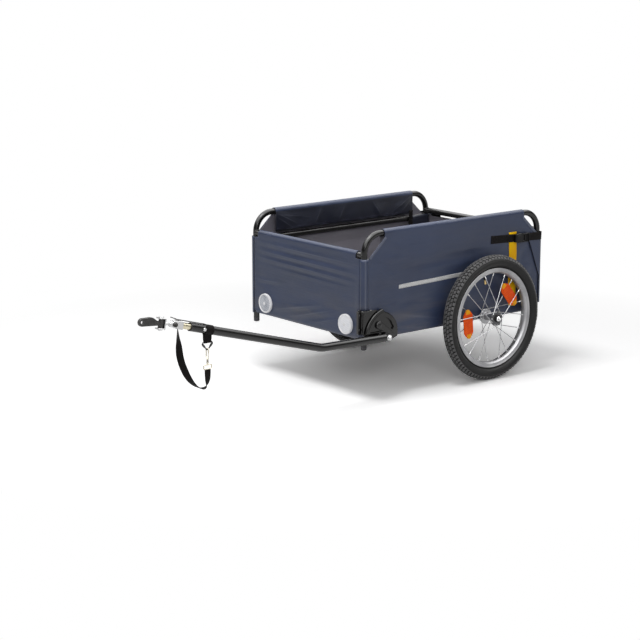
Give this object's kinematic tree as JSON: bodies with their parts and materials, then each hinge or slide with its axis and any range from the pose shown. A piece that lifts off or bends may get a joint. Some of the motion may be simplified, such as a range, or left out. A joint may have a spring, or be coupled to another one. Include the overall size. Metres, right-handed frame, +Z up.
{
  "type": "bicycle cargo trailer",
  "caption": "Bicycle cargo trailer: tube frame with a cloth-sided box and tailgate, laced wheels, folding side drawbar and swivel hitch.",
  "frame": {"origin": "under the middle of the bounding box, on the ground that the tyres stand on", "axes": "+X forwards towards the hitch, +Y to the trailer's left, where the drawbar is, +Z up"},
  "size_m": [1.5874, 0.7042, 0.5211],
  "materials": {
    "black_cast": "black coated casting",
    "black_paint": "satin black powder coat",
    "black_plastic": "moulded black plastic",
    "black_webbing": "woven black webbing",
    "board": "dark coated board",
    "chrome": "bright plated steel",
    "grey_plastic": "moulded grey plastic",
    "navy_cloth": "coated navy cloth, black inside",
    "orange_lens": "orange prism lens",
    "red_lens": "red prism lens",
    "rim_metal": "brushed silver",
    "rubber": "black rubber",
    "white_lens": "clear prism lens on white",
    "yellow_cloth": "thin yellow cloth",
    "zinc": "yellow zinc plated steel"
  },
  "bodies": {
    "trailer": {"left_hoop": "black_paint", "left_mid_rail": "black_paint", "left_lower_rail": "black_paint", "left_front_foot_cap": "grey_plastic", "left_rear_foot_cap": "grey_plastic", "right_hoop": "black_paint", "right_mid_rail": "black_paint", "right_lower_rail": "black_paint", "right_front_foot_cap": "grey_plastic", "right_rear_foot_cap": "grey_plastic", "front_top_cross_tube": "black_paint", "rear_top_cross_tube": "black_paint", "front_lower_cross_tube": "black_paint", "rear_lower_cross_tube": "black_paint", "axle_cross_tube": "black_paint", "floor_board": "board", "front_panel": "navy_cloth", "safety_pennant": "yellow_cloth", "left_side_panel": "navy_cloth", "left_buckle_socket": "black_plastic", "left_front_reflector": "white_lens", "right_side_panel": "navy_cloth", "right_buckle_socket": "black_plastic", "right_front_reflector": "white_lens", "left_axle_pin": "chrome", "right_axle_pin": "chrome", "bracket_housing": "black_paint", "post_clamp": "black_paint", "pivot_bolt": "chrome"},
    "left_wheel": {"left_tyre": "rubber", "left_rim": "rim_metal", "left_hub_with_spokes": "rim_metal", "left_wheel_reflector_1": "orange_lens", "left_wheel_reflector_2": "orange_lens"},
    "right_wheel": {"right_tyre": "rubber", "right_rim": "rim_metal", "right_hub_with_spokes": "rim_metal", "right_wheel_reflector_1": "orange_lens", "right_wheel_reflector_2": "orange_lens"},
    "tailgate": {"tailgate_panel": "navy_cloth", "left_buckle_plug": "black_plastic", "left_rear_reflector": "red_lens", "right_buckle_plug": "black_plastic", "right_rear_reflector": "red_lens"},
    "drawbar": {"sector_plate": "black_paint", "drawbar_tube": "black_paint", "swivel_bolt": "zinc", "strap_loop": "black_webbing", "safety_strap": "black_webbing"},
    "lever": {"lock_lever": "black_paint"},
    "swivel": {"swivel_tube": "zinc", "hitch_fork": "chrome", "hitch_shield": "black_paint", "pitch_bolt": "black_cast"},
    "link": {"hitch_link": "chrome", "yaw_bolt": "chrome"},
    "eye": {"axle_eye": "black_cast"},
    "hook": {"strap_ring": "black_paint", "snap_hook": "chrome"},
    "gate": {"hook_gate": "chrome"}
  },
  "joints": [
    {"name": "left_wheel_spin", "type": "hinge", "parent": "trailer", "child": "left_wheel", "pos_m": [-0.52772, 0.31, 0.1995], "axis": [0, 1, 0], "continuous": true},
    {"name": "right_wheel_spin", "type": "hinge", "parent": "trailer", "child": "right_wheel", "pos_m": [-0.52772, -0.31, 0.1995], "axis": [0, 1, 0], "continuous": true},
    {"name": "tailgate_fold", "type": "hinge", "parent": "trailer", "child": "tailgate", "pos_m": [-0.76972, 0, 0.1995], "axis": [0, -1, 0], "range_deg": [0, 90]},
    {"name": "drawbar_fold", "type": "hinge", "parent": "trailer", "child": "drawbar", "pos_m": [-0.11372, 0.2808, 0.191], "axis": [0, -1, 0], "range_deg": [0, 90]},
    {"name": "lock_lever_lift", "type": "hinge", "parent": "drawbar", "child": "lever", "pos_m": [-0.07312, 0.292, 0.235], "axis": [0, 1, 0], "range_deg": [0, 40], "stiffness_Nm_per_rad": 0.05, "springref_deg": -17.19},
    {"name": "hitch_roll", "type": "hinge", "parent": "drawbar", "child": "swivel", "pos_m": [0.62553, 0.2987, 0.33041], "axis": [0.9636, 0, 0.2672], "range_deg": [-45, 45], "deforming": ["safety_strap"]},
    {"name": "hitch_pitch", "type": "hinge", "parent": "swivel", "child": "link", "pos_m": [0.68026, 0.2987, 0.34559], "axis": [0, -1, 0], "range_deg": [-35, 35]},
    {"name": "hitch_yaw", "type": "hinge", "parent": "link", "child": "eye", "pos_m": [0.71979, 0.2987, 0.35292], "axis": [-0.1822, 0, 0.9833], "range_deg": [-60, 60]},
    {"name": "ring_swing", "type": "hinge", "parent": "drawbar", "child": "hook", "pos_m": [0.56527, 0.2987, 0.27898], "axis": [1, 0, 0], "range_deg": [-45, 45], "deforming": ["safety_strap"]},
    {"name": "hook_gate_open", "type": "hinge", "parent": "hook", "child": "gate", "pos_m": [0.56527, 0.302, 0.2297], "axis": [1, 0, 0], "range_deg": [0, 15], "stiffness_Nm_per_rad": 0.002, "springref_deg": -11.46}
  ]
}
